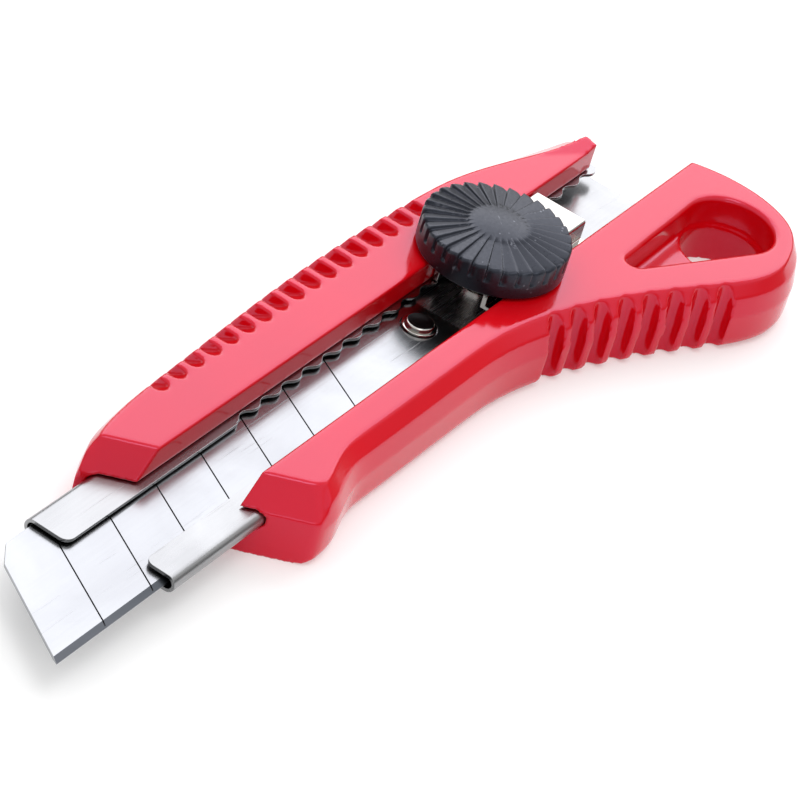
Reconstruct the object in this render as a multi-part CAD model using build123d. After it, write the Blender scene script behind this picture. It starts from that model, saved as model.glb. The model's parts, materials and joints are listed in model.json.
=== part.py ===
"""Wheel-lock snap-off knife, lying on its back.

+X points forward to the blade's tip, +Y to the cutting edge and +Z up from the resting face.
While it is drawn, X is measured back from the blade's tip as stored and Y from the blade's middle.
All sizes are in millimetres.
"""
import math
import os

from build123d import *

# Blade: a standard wide snap-off blade.
BLADE_LENGTH = 100.0
BLADE_WIDTH = 18.0
BLADE_THICK = 0.5
BLADE_SEGMENT = 10.0
BLADE_ANGLE = 60.0
BLADE_BEVEL = 1.0
BLADE_HOLE_DIAMETER = 5.6
BLADE_HOLE_FROM_END = 4.5
SCORE_WIDTH = 0.22
SCORE_DEPTH = 0.16
TIP_CORNER = 2.4
GRIND_SHARE = 0.42

# Sheet steel channel that guides the blade.
SHEET = 0.5
CHANNEL_TO_REAR = 10.8
CHANNEL_NOSE_LEFT = -18.0
CHANNEL_NOSE_RIGHT = -23.0
LEFT_LIP = 6.7
RIGHT_LIP = 5.1
LIP_CORNER = 1.4
SCALLOP_START = -55.4
SCALLOP_PITCH = 5.0
SCALLOP_DEPTH = 0.87
SCALLOP_CREST_BACK = 0.25

# Slider that carries the blade, and its lock.
PLATE_THICK = 0.5
PLATE_FRONT_OF_PIN = 7.0
PLATE_LENGTH = 38.0
PLATE_CORNER = 1.5
PIN_RISE = 1.0
PIN_COLLAR = 0.35
PIN_HEAD_STEP = 0.45
PIN_HEAD_CHAMFER = 0.3
PIN_NECK_STEP = 0.9
STUD_BEHIND_PIN = 16.5
STUD_DIAMETER = 5.0
STUD_NECK_STEP = 0.5
STUD_CHAMFER = 0.4
STUD_FLANGE_OUT = 1.0
STUD_FLANGE_THICK = 0.8
STUD_IN_WHEEL = 3.9
SADDLE_ON_LIP = 1.1
SADDLE_LENGTH = 27.0
SADDLE_FRONT_OF_STUD = 6.5
SADDLE_THICK = 0.8
SADDLE_FOOT_THICK = 0.6
SADDLE_RIDGE_ROUND = 0.5
WASHER_TO_RAIL = 0.45
WASHER_THICK = 0.6

# Lock wheel.
WHEEL_DIAMETER = 22.0
WHEEL_RIM = 4.7
WHEEL_EDGE = 0.5
WHEEL_CROWN = 0.6
WHEEL_BOSS_DIAMETER = 8.4
WHEEL_BOSS_RISE = 0.4
WHEEL_RIBS = 30
RIB_STEP_INNER = 0.06
RIB_STEP_OUTER = 0.38
RIB_STEP_SIDE = 0.4
RIB_SIDE_HEIGHT = 2.5
RIB_SIDE_SHARE = 0.3
RIB_WIDTH_SHARE = 0.9
RIB_RUN_OUT = 0.05
WHEEL_HOLLOW_DEPTH = 1.4
WHEEL_HOLLOW_WALL = 1.8
WHEEL_HUB_WALL = 1.75
INSERT_WALL = 1.25
INSERT_COLLAR_WALL = 0.6
INSERT_HEIGHT = 3.6
INSERT_COLLAR_HEIGHT = 0.8

# Moulded handle.
FLOOR_THICK = 4.25
RAIL_RISE = 4.05
LEFT_RAIL_TO_LIP = 1.25
RIGHT_RAIL_TO_LIP = 1.95
HANDLE_REAR = -162.8
FLOOR_TO_REAR = 13.8
LEFT_RAIL_TO_REAR = 12.2
NOSE_AT_FOOT = -36.7
NOSE_AT_TOP = -40.6
NOSE_SLANT = 30.7
NOSE_CORNER = 2.2
BOTTOM_ROUND = 1.8
SHOULDER_HEIGHT = 2.1
TAIL_CORNER = 1.5
NOTCH_COUNT = 17
NOTCH_PITCH = 4.0
NOTCH_FIRST = -48.9
NOTCH_RADIUS = 1.15
NOTCH_TILT = 30.0
NOTCH_END = 1.5
NOTCH_END_DEPTH = 0.4
GROOVE_COUNT = 8
GROOVE_PITCH = 4.35
GROOVE_RADIUS = 1.5
GROOVE_DEPTH = 1.9
GROOVE_TO_REAR = 55.6
HANG_HOLE_RADIUS = 6.4
HANG_POCKET_WALL = 0.3
HANG_POCKET_DEPTH = 5.0
HANG_POCKET_TIP_RADIUS = 1.5
HANG_HOLE_TO_REAR = 12.4
HANG_HOLE_OUT = 9.5
HANG_TIP_TO_REAR = 32.9
HANG_TIP_OUT = 4.8
POCKET_CHAMFER = 0.5
TAIL_HOOK_REACH = 3.5
TAIL_HOOK_RISE = 1.0
TAIL_HOOK_TURN = 57.0
TAIL_HOOK_IN = 3.2

# Clearances.
SLIDE_SIDE = 0.6
PLATE_SIDE = 0.8
PLATE_UNDER = 0.25
LIP_OVER_BLADE = 0.35
FOOT_OVER_LIP = 0.1
CHANNEL_SIDE = 0.1
SADDLE_OVER_LIP = 0.12
SADDLE_TO_RAIL = 0.35
STACK_GAP = 0.05
WHEEL_OVER_RAIL = 0.4
THREAD_RUNNING = 0.05
LOOSE_HOLE = 0.2
PIN_IN_BLADE = 0.2

# Heights of the stack, from the resting face up.
CHANNEL_BOTTOM = FLOOR_THICK
PLATE_BOTTOM = CHANNEL_BOTTOM + SHEET + PLATE_UNDER
BLADE_BOTTOM = PLATE_BOTTOM + PLATE_THICK
BLADE_TOP = BLADE_BOTTOM + BLADE_THICK
LIP_BOTTOM = BLADE_TOP + LIP_OVER_BLADE
LIP_TOP = LIP_BOTTOM + SHEET
RAIL_FOOT = LIP_TOP + FOOT_OVER_LIP
RAIL_TOP = RAIL_FOOT + RAIL_RISE
WHEEL_BOTTOM = RAIL_TOP + WHEEL_OVER_RAIL
WASHER_BOTTOM = WHEEL_BOTTOM - STACK_GAP - WASHER_THICK
SADDLE_TOP = WASHER_BOTTOM - STACK_GAP
SADDLE_FOOT = LIP_TOP + SADDLE_OVER_LIP

# Widths, from the middle of the blade out.
CHANNEL_HALF = BLADE_WIDTH / 2 + SLIDE_SIDE + SHEET
CHANNEL_HEIGHT = LIP_TOP - CHANNEL_BOTTOM
LEFT_LIP_EDGE = LEFT_LIP - CHANNEL_HALF
RIGHT_LIP_EDGE = CHANNEL_HALF - RIGHT_LIP
LEFT_WALL = LEFT_LIP_EDGE - LEFT_RAIL_TO_LIP
RIGHT_WALL = RIGHT_LIP_EDGE + RIGHT_RAIL_TO_LIP
PLATE_WIDTH = BLADE_WIDTH + 2 * SLIDE_SIDE - 2 * PLATE_SIDE
SADDLE_HALF = SADDLE_ON_LIP - LEFT_LIP_EDGE
HANG_HOLE_Y = CHANNEL_HALF + HANG_HOLE_OUT
HANG_TIP_Y = CHANNEL_HALF + HANG_TIP_OUT

# Stations along the knife; those of the tail go with the rear end.
CHANNEL_REAR = HANDLE_REAR + CHANNEL_TO_REAR
FLOOR_REAR = HANDLE_REAR + FLOOR_TO_REAR
LEFT_RAIL_REAR = HANDLE_REAR + LEFT_RAIL_TO_REAR
GROOVE_FIRST = HANDLE_REAR + GROOVE_TO_REAR
HANG_HOLE_X = HANDLE_REAR + HANG_HOLE_TO_REAR
HANG_TIP_X = HANDLE_REAR + HANG_TIP_TO_REAR
PIN_X = BLADE_HOLE_FROM_END - BLADE_LENGTH
STUD_X = PIN_X - STUD_BEHIND_PIN
PLATE_FRONT = PIN_X + PLATE_FRONT_OF_PIN
SADDLE_FRONT = STUD_X + SADDLE_FRONT_OF_STUD

# Diameters that fit the blade's hole, go round the stud or pass between the rails.
PIN_DIAMETER = BLADE_HOLE_DIAMETER - 2 * PIN_IN_BLADE
PIN_NECK_DIAMETER = PIN_DIAMETER - 2 * PIN_NECK_STEP
STUD_NECK_DIAMETER = STUD_DIAMETER - 2 * STUD_NECK_STEP
STUD_FLANGE_DIAMETER = STUD_DIAMETER + 2 * STUD_FLANGE_OUT
STUD_HOLE_DIAMETER = STUD_DIAMETER + 2 * LOOSE_HOLE
WASHER_DIAMETER = -2 * (LEFT_WALL + WASHER_TO_RAIL)
INSERT_COLLAR_DIAMETER = STUD_DIAMETER + 2 * INSERT_COLLAR_WALL
INSERT_DIAMETER = STUD_DIAMETER + 2 * INSERT_WALL
WHEEL_HUB_DIAMETER = INSERT_DIAMETER + 2 * WHEEL_HUB_WALL

# Widest outline of the handle, as how far it lies outside the channel. Its front stations are measured
# back from the blade's tip, and those of its tail forward from the rear end.
BELLY_FRONT = [
    (-38.0, 6.3), (-46.5, 6.4), (-50.5, 6.3), (-54.3, 5.2), (-58.5, 4.0), (-64.0, 3.75),
    (-88.0, 3.75), (-97.0, 4.1),
]
BELLY_TAIL = [
    (55.8, 6.1), (44.3, 10.2), (36.3, 13.9), (28.4, 18.1), (22.8, 20.8), (16.3, 22.2),
    (10.3, 21.1), (4.8, 17.8), (1.3, 12.2),
]
SPINE_FRONT = [(-24.0, -1.6), (-29.5, 0.9), (-33.5, 2.9), (-38.0, 4.0), (-54.7, 5.4), (-77.8, 6.7)]
SPINE_TAIL = [(64.8, 7.0), (46.9, 6.4), (32.5, 5.0), (20.8, 2.8), (10.3, 0.6)]
BELLY_SHOULDER_INSET = 2.8
TAIL_SHOULDER_INSET = 2.1
REAR_SHOULDER_INSET = 1.1
SPINE_SHOULDER_INSET = 1.7
SPINE_REAR_INSET = 4.1
TAIL_SHOULDER_START = 52.8
TAIL_SHOULDER_END = 22.8
REAR_SHOULDER_START = 10.8
SPINE_SHOULDER_START = 42.8
SPINE_SHOULDER_END = 12.8
OUTLINE_SAMPLES = 36
REAR_OUT = 4.5


def box(x0, x1, y0, y1, z0, z1):
    """Solid block between two corners."""
    centre = ((x0 + x1) / 2, (y0 + y1) / 2, (z0 + z1) / 2)
    return Pos(*centre) * Box(abs(x1 - x0), abs(y1 - y0), abs(z1 - z0))


def rod(x, y, z0, z1, diameter):
    """Upright round rod."""
    return Pos(x, y, (z0 + z1) / 2) * Cylinder(diameter / 2, z1 - z0)


def prism(points, z0, z1):
    """Upright prism over a polygon of (x, y) points."""
    return Pos(0, 0, z0) * extrude(make_face(Polyline(*points, close=True)), amount=z1 - z0)


def blend(value, start, end, low, high):
    """Value that passes smoothly from low at start to high at end."""
    share = min(max((value - start) / (end - start), 0.0), 1.0)
    share = share * share * (3 - 2 * share)
    return low + (high - low) * share


def belly_inset(x):
    """Width of the sloping shoulder at a place on the belly, tail or rear."""
    ahead = x - HANDLE_REAR
    side = blend(ahead, TAIL_SHOULDER_START, TAIL_SHOULDER_END, BELLY_SHOULDER_INSET, TAIL_SHOULDER_INSET)
    return blend(ahead, REAR_SHOULDER_START, 0.0, side, REAR_SHOULDER_INSET)


def spine_inset(x):
    """Width of the sloping shoulder at a place on the spine."""
    ahead = x - HANDLE_REAR
    return blend(ahead, SPINE_SHOULDER_START, SPINE_SHOULDER_END, SPINE_SHOULDER_INSET, SPINE_REAR_INSET)


def sampled(curve, side):
    """Points and outward directions spread evenly along a curve; side is +1 or -1."""
    stations = []
    for index in range(OUTLINE_SAMPLES):
        share = index / (OUTLINE_SAMPLES - 1)
        place = curve @ share
        along = curve % share
        stations.append((place.X, place.Y, along.Y * side, -along.X * side))
    return stations


def rail_levels():
    """Heights of the rail's section, with the round's and the shoulder's share of inset at each."""
    levels = []
    for angle in (0, 30, 60, 90):
        swing = math.radians(angle)
        levels.append((BOTTOM_ROUND * (1 - math.cos(swing)), 1 - math.sin(swing), 0.0))
    levels.append((RAIL_TOP - 2.4 * SHOULDER_HEIGHT, 0.0, 0.0))
    levels.append((RAIL_TOP - SHOULDER_HEIGHT, 0.0, 0.3))
    levels.append((RAIL_TOP - 0.12 * SHOULDER_HEIGHT, 0.0, 0.9))
    levels.append((RAIL_TOP, 0.0, 1.0))
    return levels


def rail_block(curve, side, wall, inset_at, closing):
    """Rail lofted through its levels, from its moulded outer curve to its straight inner wall."""
    sections = []
    for height, round_share, shoulder_share in rail_levels():
        points = []
        for x, y, out_x, out_y in sampled(curve, side):
            inset = BOTTOM_ROUND * round_share + inset_at(x) * shoulder_share
            points.append((x - out_x * inset, y - out_y * inset))
        points[0] = (curve.position_at(0).X, points[0][1])
        points[-1] = closing(points[-1])
        outer = Spline(*points)
        corners = [points[-1], (points[-1][0], wall), (points[0][0], wall), points[0]]
        if abs(points[-1][1] - wall) < 0.001:
            corners.pop(0)
        inner = Polyline(*corners)
        sections.append(Pos(0, 0, height) * make_face(outer + inner))
    return loft(sections, ruled=True)


def nose_cutter():
    """Material in front of the slanted nose: an upright face with a sloping face above it."""
    far = 60.0
    high = RAIL_TOP + 5.0
    setback = (NOSE_AT_TOP - NOSE_AT_FOOT) * math.cos(math.radians(NOSE_SLANT))
    over = setback * (high - RAIL_FOOT) / (RAIL_TOP - RAIL_FOOT)
    profile = Polyline((0, -1), (0, RAIL_FOOT), (over, high), (far, high), (far, -1), close=True)
    block = extrude(make_face(Plane.XZ * profile), amount=far, both=True)
    return Pos(NOSE_AT_FOOT, 0, 0) * Rot(0, 0, NOSE_SLANT) * block


def corner_face(front, side, height):
    """Flat shape outside the rounded corner between the slanted nose and the belly side."""
    slant = math.radians(NOSE_SLANT)
    ahead = Vector(math.cos(slant), math.sin(slant))
    out = Vector(0, 1)
    middle_y = side - NOSE_CORNER
    middle_x = front - math.tan(slant) * middle_y - NOSE_CORNER / math.cos(slant)
    middle = Vector(middle_x, middle_y)
    on_front = middle + ahead * NOSE_CORNER
    on_side = middle + out * NOSE_CORNER
    between = middle + (ahead + out).normalized() * NOSE_CORNER
    apex = Vector(front - math.tan(slant) * side, side)
    margin = 3.0
    outside = Polyline(
        on_side, on_side + out * margin, apex + (ahead + out) * margin, on_front + ahead * margin, on_front
    )
    return Pos(0, 0, height) * make_face(outside + ThreePointArc(on_front, between, on_side))


def nose_corner_cutter():
    """Rounds the belly corner of the nose, upright below and leaning back above."""
    side = CHANNEL_HALF + BELLY_FRONT[1][1]
    low = corner_face(NOSE_AT_FOOT, side, -1.0)
    foot = corner_face(NOSE_AT_FOOT, side, RAIL_FOOT)
    top = corner_face(NOSE_AT_TOP, side - BELLY_SHOULDER_INSET, RAIL_TOP)
    return loft([low, foot], ruled=True) + loft([foot, top], ruled=True)


def slanted_rod(foot, head, radius):
    """Round rod between two points."""
    along = Vector(*head) - Vector(*foot)
    return Plane(origin=foot, z_dir=along) * extrude(Circle(radius), amount=along.length)


def station_at(curve, x):
    """Share of the way along an outline at which it passes a station."""
    low = 0.0
    high = 0.75
    for _ in range(40):
        middle = (low + high) / 2
        if (curve @ middle).X > x:
            low = middle
        else:
            high = middle
    return low


def grip_grooves(curve):
    """Finger grooves down the belly flank; each starts at the shoulder and runs to the bottom."""
    cutters = []
    start = station_at(curve, GROOVE_FIRST)
    for index in range(GROOVE_COUNT):
        share = start + index * GROOVE_PITCH / curve.length
        place = curve @ share
        along = curve % share
        reach_low = GROOVE_RADIUS - GROOVE_DEPTH
        reach_top = GROOVE_RADIUS - belly_inset(place.X)
        foot = (place.X + along.Y * reach_low, place.Y - along.X * reach_low, -1.0)
        head = (place.X + along.Y * reach_top, place.Y - along.X * reach_top, RAIL_TOP + 0.5)
        cutters.append(slanted_rod(foot, head, GROOVE_RADIUS))
    return cutters


def thumb_notches():
    """Row of round-ended notches along the spine edge, with one sloping floor for all of them."""
    inner = -(CHANNEL_HALF + NOTCH_END)
    outer = -(CHANNEL_HALF + 2 * RAIL_TOP)
    middle = inner - NOTCH_RADIUS
    high = RAIL_TOP + 1.0
    slots = Sketch()
    for index in range(NOTCH_COUNT):
        x = NOTCH_FIRST - index * NOTCH_PITCH
        slots += Pos(x, middle) * Circle(NOTCH_RADIUS)
        slots += Pos(x, (middle + outer) / 2) * Rectangle(2 * NOTCH_RADIUS, middle - outer)
    drop = (inner - outer) * math.tan(math.radians(NOTCH_TILT))
    floor = Polyline(
        (inner, RAIL_TOP - NOTCH_END_DEPTH), (outer, RAIL_TOP - NOTCH_END_DEPTH - drop),
        (outer, high), (inner, high), close=True,
    )
    over_floor = extrude(make_face(Plane.YZ * floor), amount=-HANDLE_REAR, dir=(-1, 0, 0))
    return extrude(slots, amount=high) & over_floor


def teardrop(grow, height):
    """Teardrop outline of the hang hole's pocket, grown by a margin, at a height."""
    big = Vector(HANG_HOLE_X, HANG_HOLE_Y)
    tip = Vector(HANG_TIP_X, HANG_TIP_Y)
    big_radius = HANG_HOLE_RADIUS + HANG_POCKET_WALL + grow
    tip_radius = HANG_POCKET_TIP_RADIUS + grow
    along = tip - big
    heading = math.atan2(along.Y, along.X)
    spread = math.acos((big_radius - tip_radius) / along.length)
    ends = []
    for turn in (spread, -spread):
        swing = Vector(math.cos(heading + turn), math.sin(heading + turn))
        ends.append((big + swing * big_radius, tip + swing * tip_radius))
    forward = along.normalized()
    outline = [
        Line(ends[0][0], ends[0][1]),
        ThreePointArc(ends[0][1], tip + forward * tip_radius, ends[1][1]),
        Line(ends[1][1], ends[1][0]),
        ThreePointArc(ends[1][0], big - forward * big_radius, ends[0][0]),
    ]
    return Pos(0, 0, height) * make_face(Wire(outline))


def hang_hole():
    """Pocket with a bevelled mouth, and the round hole through its wide end."""
    pocket = extrude(teardrop(0.0, RAIL_TOP - HANG_POCKET_DEPTH), amount=HANG_POCKET_DEPTH + 1.0)
    mouth = loft([teardrop(0.0, RAIL_TOP - POCKET_CHAMFER), teardrop(POCKET_CHAMFER, RAIL_TOP)], ruled=True)
    hole = rod(HANG_HOLE_X, HANG_HOLE_Y, -1.0, RAIL_TOP, 2 * HANG_HOLE_RADIUS)
    return pocket + mouth + hole


def channel_slot():
    """Undercut slot that the steel channel lies in: open in front, closed by the tail on the belly side."""
    rear = CHANNEL_REAR - CHANNEL_SIDE
    high = RAIL_FOOT - CHANNEL_BOTTOM
    section = RectangleRounded(2 * (CHANNEL_HALF + CHANNEL_SIDE), high, high / 2 - 0.01)
    place = Plane(origin=(rear, 0, CHANNEL_BOTTOM + high / 2), x_dir=(0, 1, 0), z_dir=(1, 0, 0))
    return extrude(place * section, amount=-rear)


def tail_hook(left):
    """Upturned corner of the spine rail's rear end, rising slantwise towards its outer rear corner."""
    length = 2 * TAIL_HOOK_REACH
    profile = Polyline((0, 0), (-length, 0), (-length, 2 * TAIL_HOOK_RISE), close=True)
    wedge = extrude(make_face(Plane.XZ * profile), amount=4 * length, both=True)
    turn = math.radians(TAIL_HOOK_TURN)
    x = LEFT_RAIL_REAR + TAIL_HOOK_REACH * math.cos(turn)
    y = TAIL_HOOK_IN - CHANNEL_HALF + TAIL_HOOK_REACH * math.sin(turn)
    wedge = Pos(x, y, RAIL_TOP) * Rot(0, 0, TAIL_HOOK_TURN) * wedge
    rise = extrude(left.faces().sort_by(Axis.Z)[-1], amount=2 * TAIL_HOOK_RISE)
    return rise & wedge


def outline(front, tail, side):
    """Smooth curve through front stations from the tip and tail stations from the rear end."""
    stations = front + [(HANDLE_REAR + ahead, out) for ahead, out in tail]
    return Spline(*[(x, side * (CHANNEL_HALF + out)) for x, out in stations])


def belly_block():
    """Belly rail, guard bulb and tail in one block, with its straight inner wall."""
    rear_end = (TAIL_CORNER, RIGHT_WALL - CHANNEL_HALF)
    curve = outline(BELLY_FRONT, BELLY_TAIL + [(0.0, REAR_OUT), rear_end], 1)
    return curve, rail_block(curve, 1, RIGHT_WALL, belly_inset, lambda end: (end[0], RIGHT_WALL))


def spine_block():
    """Spine rail with its straight inner wall."""
    curve = outline(SPINE_FRONT, SPINE_TAIL, -1)
    return rail_block(curve, -1, LEFT_WALL, spine_inset, lambda end: end)


def handle_body():
    """One-piece moulding: two rails, the floor between them, the guard and the tail."""
    curve, belly = belly_block()
    spine = spine_block()
    spine -= box(LEFT_RAIL_REAR, LEFT_RAIL_REAR - 30, -60, 0, -1, RAIL_TOP + 9)
    spine += tail_hook(spine)
    floor = box(FLOOR_REAR, 0, LEFT_WALL - 1, RIGHT_WALL + 1, 0, RAIL_FOOT)
    floor -= box(HANDLE_REAR, 0, LEFT_WALL, RIGHT_WALL, CHANNEL_BOTTOM, RAIL_TOP)
    body = belly + spine + floor
    body -= channel_slot()
    body -= nose_cutter()
    body -= nose_corner_cutter()
    body -= hang_hole()
    for cutter in grip_grooves(curve):
        body -= cutter
    return body - thumb_notches()


def scalloped_edge():
    """Opening of the channel between its lips; round scallops and crests alternate along the left lip."""
    crest = LEFT_LIP_EDGE - SCALLOP_CREST_BACK
    level = crest - SCALLOP_DEPTH / 2
    quarter = SCALLOP_PITCH / 4
    radius = (quarter ** 2 + (SCALLOP_DEPTH / 2) ** 2) / SCALLOP_DEPTH
    turn = math.asin(quarter / radius) / 2
    first = (SCALLOP_START - radius * math.sin(turn), crest - radius * (1 - math.cos(turn)))
    x = SCALLOP_START - quarter
    arcs = [ThreePointArc((SCALLOP_START, crest), first, (x, level))]
    bulge = -SCALLOP_DEPTH / 2
    while x > CHANNEL_REAR:
        arcs.append(ThreePointArc((x, level), (x - quarter, level + bulge), (x - 2 * quarter, level)))
        x -= 2 * quarter
        bulge = -bulge
    front = CHANNEL_NOSE_LEFT + 1.0
    rest = Polyline(
        (x, level), (x, RIGHT_LIP_EDGE), (front, RIGHT_LIP_EDGE), (front, LEFT_LIP_EDGE),
        (SCALLOP_START, LEFT_LIP_EDGE), (SCALLOP_START, crest),
    )
    return make_face(Curve() + arcs + rest)


def blade_channel():
    """Sheet steel channel: a base, two folded sides and two lips that hold the blade down."""
    length = CHANNEL_NOSE_LEFT - CHANNEL_REAR
    middle = CHANNEL_BOTTOM + CHANNEL_HEIGHT / 2
    place = Plane(origin=(CHANNEL_REAR, 0, middle), x_dir=(0, 1, 0), z_dir=(1, 0, 0))
    outer = RectangleRounded(2 * CHANNEL_HALF, CHANNEL_HEIGHT, CHANNEL_HEIGHT / 2 - 0.01)
    inside = CHANNEL_HEIGHT - 2 * SHEET
    inner = RectangleRounded(2 * (CHANNEL_HALF - SHEET), inside, inside / 2 - 0.01)
    channel = extrude(place * (outer - inner), amount=length)
    channel -= Pos(0, 0, LIP_BOTTOM - SHEET) * extrude(scalloped_edge(), amount=3 * SHEET)
    slanted = [
        (CHANNEL_NOSE_LEFT, LEFT_LIP_EDGE), (CHANNEL_NOSE_RIGHT, RIGHT_LIP_EDGE),
        (CHANNEL_NOSE_RIGHT, CHANNEL_HALF + 1), (1, CHANNEL_HALF + 1), (1, LEFT_LIP_EDGE),
    ]
    channel -= prism(slanted, 0, RAIL_TOP)
    lip_ends = channel.edges().filter_by(Axis.Z).filter_by(
        lambda edge: edge.center().X > CHANNEL_NOSE_RIGHT - 1 and edge.center().Z > BLADE_TOP
        and abs(edge.center().Y) < CHANNEL_HALF - CHANNEL_HEIGHT
    )
    return fillet(lip_ends, LIP_CORNER)


def blade():
    """Snap-off blade: slanted ends, ground edge, score lines and the hole for the slider's pin."""
    half = BLADE_WIDTH / 2
    lean = BLADE_WIDTH / math.tan(math.radians(BLADE_ANGLE))
    tip = [
        (0, half), (-BLADE_LENGTH, half), (-BLADE_LENGTH, -half),
        (-lean - TIP_CORNER, -half), (-lean + 0.4 * TIP_CORNER, TIP_CORNER - half),
    ]
    sheet = prism(tip, BLADE_BOTTOM, BLADE_TOP)
    grind = Polyline(
        (half - BLADE_BEVEL, BLADE_TOP), (half + 0.01, BLADE_TOP + 0.01),
        (half + 0.01, BLADE_TOP - GRIND_SHARE * BLADE_THICK), close=True,
    )
    upper = extrude(make_face(Plane.YZ * grind), amount=BLADE_LENGTH + 2, both=True)
    lower = mirror(upper, about=Plane.XY.offset(BLADE_BOTTOM + BLADE_THICK / 2))
    sheet -= upper
    sheet -= lower
    for index in range(1, round(BLADE_LENGTH / BLADE_SEGMENT) - 2):
        x = -index * BLADE_SEGMENT
        line = Pos(x - lean / 2, 0, BLADE_TOP) * Rot(0, 0, BLADE_ANGLE)
        sheet -= line * Box(2 * BLADE_WIDTH, SCORE_WIDTH, 2 * SCORE_DEPTH)
    return sheet - rod(PIN_X, 0, 0, RAIL_TOP, BLADE_HOLE_DIAMETER)


def slider_plate():
    """Flat steel plate under the blade; it runs in the channel and carries the pin and the lock stud."""
    rear = PLATE_FRONT - PLATE_LENGTH
    plate = box(rear, PLATE_FRONT, -PLATE_WIDTH / 2, PLATE_WIDTH / 2, PLATE_BOTTOM, BLADE_BOTTOM)
    plate = fillet(plate.edges().filter_by(Axis.Z), PLATE_CORNER)
    plate -= rod(PIN_X, 0, 0, RAIL_TOP, PIN_NECK_DIAMETER)
    return plate - rod(STUD_X, 0, 0, RAIL_TOP, STUD_NECK_DIAMETER)


def blade_pin():
    """Bright riveted pin that takes the blade's hole."""
    neck = rod(PIN_X, 0, PLATE_BOTTOM, BLADE_BOTTOM, PIN_NECK_DIAMETER)
    collar = rod(PIN_X, 0, BLADE_BOTTOM, BLADE_TOP + PIN_COLLAR, PIN_DIAMETER)
    head_foot = BLADE_TOP + PIN_COLLAR
    head = rod(PIN_X, 0, head_foot, BLADE_TOP + PIN_RISE, PIN_DIAMETER - 2 * PIN_HEAD_STEP)
    head = chamfer(head.edges().sort_by(Axis.Z)[-1], PIN_HEAD_CHAMFER)
    return neck + collar + head


def lock_stud():
    """Stud riveted to the slider plate; the wheel's thread runs on it."""
    neck = rod(STUD_X, 0, PLATE_BOTTOM, BLADE_BOTTOM, STUD_NECK_DIAMETER)
    flange = rod(STUD_X, 0, BLADE_BOTTOM, BLADE_BOTTOM + STUD_FLANGE_THICK, STUD_FLANGE_DIAMETER)
    shank = rod(STUD_X, 0, BLADE_BOTTOM, WHEEL_BOTTOM + STUD_IN_WHEEL, STUD_DIAMETER)
    shank = chamfer(shank.edges().sort_by(Axis.Z)[-1], STUD_CHAMFER)
    return neck + flange + shank


def saddle():
    """Bright pressed saddle that straddles the gap between the lips and is clamped by the wheel."""
    rear = SADDLE_FRONT - SADDLE_LENGTH
    half = SADDLE_HALF
    inside = half - SADDLE_THICK
    foot_out = RIGHT_WALL - SADDLE_TO_RAIL
    shell = box(rear, SADDLE_FRONT, -half, half, SADDLE_FOOT, SADDLE_TOP)
    shell -= box(rear - 1, SADDLE_FRONT + 1, -inside, inside, 0, SADDLE_TOP - SADDLE_THICK)
    shell += box(rear, SADDLE_FRONT, inside, foot_out, SADDLE_FOOT, SADDLE_FOOT + SADDLE_FOOT_THICK)
    ridge = shell.edges().filter_by(Axis.X).group_by(Axis.Z)[-1]
    shell = fillet(ridge, SADDLE_RIDGE_ROUND)
    return shell - rod(STUD_X, 0, 0, RAIL_TOP, STUD_HOLE_DIAMETER)


def friction_washer():
    """Flat washer under the wheel; it rises and falls with the wheel but does not turn."""
    ring = rod(STUD_X, 0, WASHER_BOTTOM, WASHER_BOTTOM + WASHER_THICK, WASHER_DIAMETER)
    return ring - rod(STUD_X, 0, 0, 2 * RAIL_TOP, STUD_HOLE_DIAMETER)


def wheel_profile():
    """Half section of the wheel: rim, gently crowned face and raised smooth boss."""
    radius = WHEEL_DIAMETER / 2
    boss = WHEEL_BOSS_DIAMETER / 2
    rim_top = WHEEL_BOTTOM + WHEEL_RIM
    crown = rim_top + WHEEL_CROWN
    hub = WHEEL_HUB_DIAMETER / 2
    wall = radius - WHEEL_HOLLOW_WALL
    hollow = WHEEL_BOTTOM + WHEEL_HOLLOW_DEPTH
    shoulder = radius - WHEEL_EDGE
    bevel = WHEEL_EDGE * (1 - math.sqrt(0.5))
    edge_start = (radius, rim_top - WHEEL_EDGE)
    foot = Polyline(
        (0, crown + WHEEL_BOSS_RISE), (0, WHEEL_BOTTOM), (hub, WHEEL_BOTTOM), (hub, hollow), (wall, hollow),
        (wall, WHEEL_BOTTOM), (shoulder, WHEEL_BOTTOM), (radius, WHEEL_BOTTOM + WHEEL_EDGE),
        edge_start,
    )
    edge = ThreePointArc(edge_start, (radius - bevel, rim_top - bevel), (shoulder, rim_top))
    face = Line((shoulder, rim_top), (boss, crown))
    dome_middle = (boss / 2, crown + 0.75 * WHEEL_BOSS_RISE)
    dome = ThreePointArc((boss, crown), dome_middle, (0, crown + WHEEL_BOSS_RISE))
    return make_face(Plane.XZ * (foot + edge + face + dome))


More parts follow.
